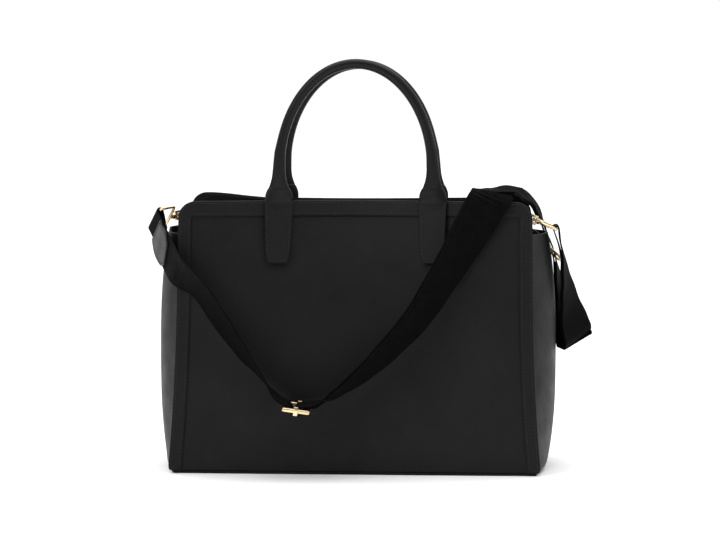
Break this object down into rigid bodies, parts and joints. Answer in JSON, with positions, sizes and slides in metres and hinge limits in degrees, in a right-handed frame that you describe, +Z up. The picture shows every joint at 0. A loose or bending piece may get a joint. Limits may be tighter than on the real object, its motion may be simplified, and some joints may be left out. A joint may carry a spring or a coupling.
{
  "type": "diaper bag",
  "caption": "Upright black tote-style diaper bag with rolled handles, a draped webbing shoulder strap with buckle and gold clasps, lined and open at the top.",
  "frame": {"origin": "middle of the bag's underside, on the surface it stands on", "axes": "+Z up, +X to the right seen from the front, -Y towards the front panel"},
  "size_m": [0.4677, 0.2092, 0.4262],
  "materials": {
    "leather": "satin",
    "webbing": "matte",
    "gold": "satin",
    "lining_cloth": "matte",
    "board": "matte",
    "core_rope": "matte",
    "zip_metal": "satin"
  },
  "bodies": {
    "bag": {"base_board": "board", "base_panel": "leather", "front_border_trim": "leather", "front_facing": "leather", "front_left_handle_tab": "leather", "front_right_handle_tab": "leather", "front_panel": "leather", "left_bottle_pocket": "lining_cloth", "right_bottle_pocket": "lining_cloth", "left_gusset": "leather", "right_gusset": "leather", "left_ring_tab": "leather", "right_ring_tab": "leather", "lining": "lining_cloth", "rear_border_trim": "leather", "rear_facing": "leather", "rear_left_handle_tab": "leather", "rear_right_handle_tab": "leather", "rear_panel": "leather", "snap_socket": "gold", "snap_stud": "gold", "right_strap_loop": "gold", "strap_webbing_shoulder": "webbing", "zip_tape": "lining_cloth", "zip_teeth": "zip_metal"},
    "front_handle": {"front_handle_cover": "leather", "front_handle_core": "core_rope"},
    "rear_handle": {"rear_handle_cover": "leather", "rear_handle_core": "core_rope"},
    "strap_front": {"left_strap_loop": "gold", "strap_end_patch": "leather", "strap_webbing_front": "webbing", "strap_webbing_return": "webbing", "slider_frame": "gold", "slider_bar": "gold"},
    "left_hook": {"left_hook_body": "gold", "left_gate_pin": "gold"},
    "left_gate": {"left_hook_gate": "gold"},
    "right_hook": {"right_hook_body": "gold", "right_gate_pin": "gold"},
    "right_gate": {"right_hook_gate": "gold"},
    "left_ring": {"left_d_ring": "gold"},
    "right_ring": {"right_d_ring": "gold"},
    "keeper": {"strap_keeper": "gold"},
    "zip_runner": {"zip_slider": "zip_metal"},
    "zip_tab": {"zip_pull": "zip_metal"}
  },
  "joints": [
    {"name": "front_handle_tilt", "type": "hinge", "parent": "bag", "child": "front_handle", "pos_m": [0, -0.0389, 0.2832], "axis": [1, 0, 0], "range_deg": [-12, 80]},
    {"name": "rear_handle_tilt", "type": "hinge", "parent": "bag", "child": "rear_handle", "pos_m": [0, 0.0389, 0.2832], "axis": [-1, 0, 0], "range_deg": [-12, 80]},
    {"name": "strap_drape_swing", "type": "hinge", "parent": "bag", "child": "strap_front", "pos_m": [-0.1762, 0, 0.2647], "axis": [-0.9864, 0.1468, -0.0739], "range_deg": [0, 25]},
    {"name": "left_hook_swivel", "type": "hinge", "parent": "strap_front", "child": "left_hook", "pos_m": [-0.19683, -0.01068, 0.26116], "axis": [-0.8779, -0.4545, -0.1508], "range_deg": [-10, 10]},
    {"name": "left_gate_open", "type": "hinge", "parent": "left_hook", "child": "left_gate", "pos_m": [-0.18591, -0.00473, 0.26648], "axis": [-0.4479, 0.8908, -0.0769], "range_deg": [0, 18], "stiffness_Nm_per_rad": 0.02, "springref_deg": -8.59},
    {"name": "right_hook_swivel", "type": "hinge", "parent": "bag", "child": "right_hook", "pos_m": [0.19249, 0, 0.25531], "axis": [0.9357, 0, -0.3529], "range_deg": [-20, 20]},
    {"name": "right_gate_open", "type": "hinge", "parent": "right_hook", "child": "right_gate", "pos_m": [0.18143, 0, 0.26311], "axis": [0, -1, 0], "range_deg": [0, 18], "stiffness_Nm_per_rad": 0.02, "springref_deg": -8.59},
    {"name": "left_ring_swing", "type": "hinge", "parent": "bag", "child": "left_ring", "pos_m": [-0.1775, 0, 0.2462], "axis": [0, 1, 0], "range_deg": [-2, 3]},
    {"name": "right_ring_swing", "type": "hinge", "parent": "bag", "child": "right_ring", "pos_m": [0.1775, 0, 0.2462], "axis": [0, -1, 0], "range_deg": [-2, 4]},
    {"name": "keeper_slide", "type": "slide", "parent": "bag", "child": "keeper", "axis": [0.2764, -0.1785, -0.9443], "range_m": [-0.002, 0.004]},
    {"name": "zip_slide", "type": "slide", "parent": "bag", "child": "zip_runner", "axis": [0.9965, -0.0818, -0.0173], "range_m": [0, 0.024]},
    {"name": "zip_tab_swing", "type": "hinge", "parent": "zip_runner", "child": "zip_tab", "pos_m": [-0.05829, 0.04733, 0.16928], "axis": [0, 0.2069, -0.9784], "range_deg": [0, 170]}
  ]
}
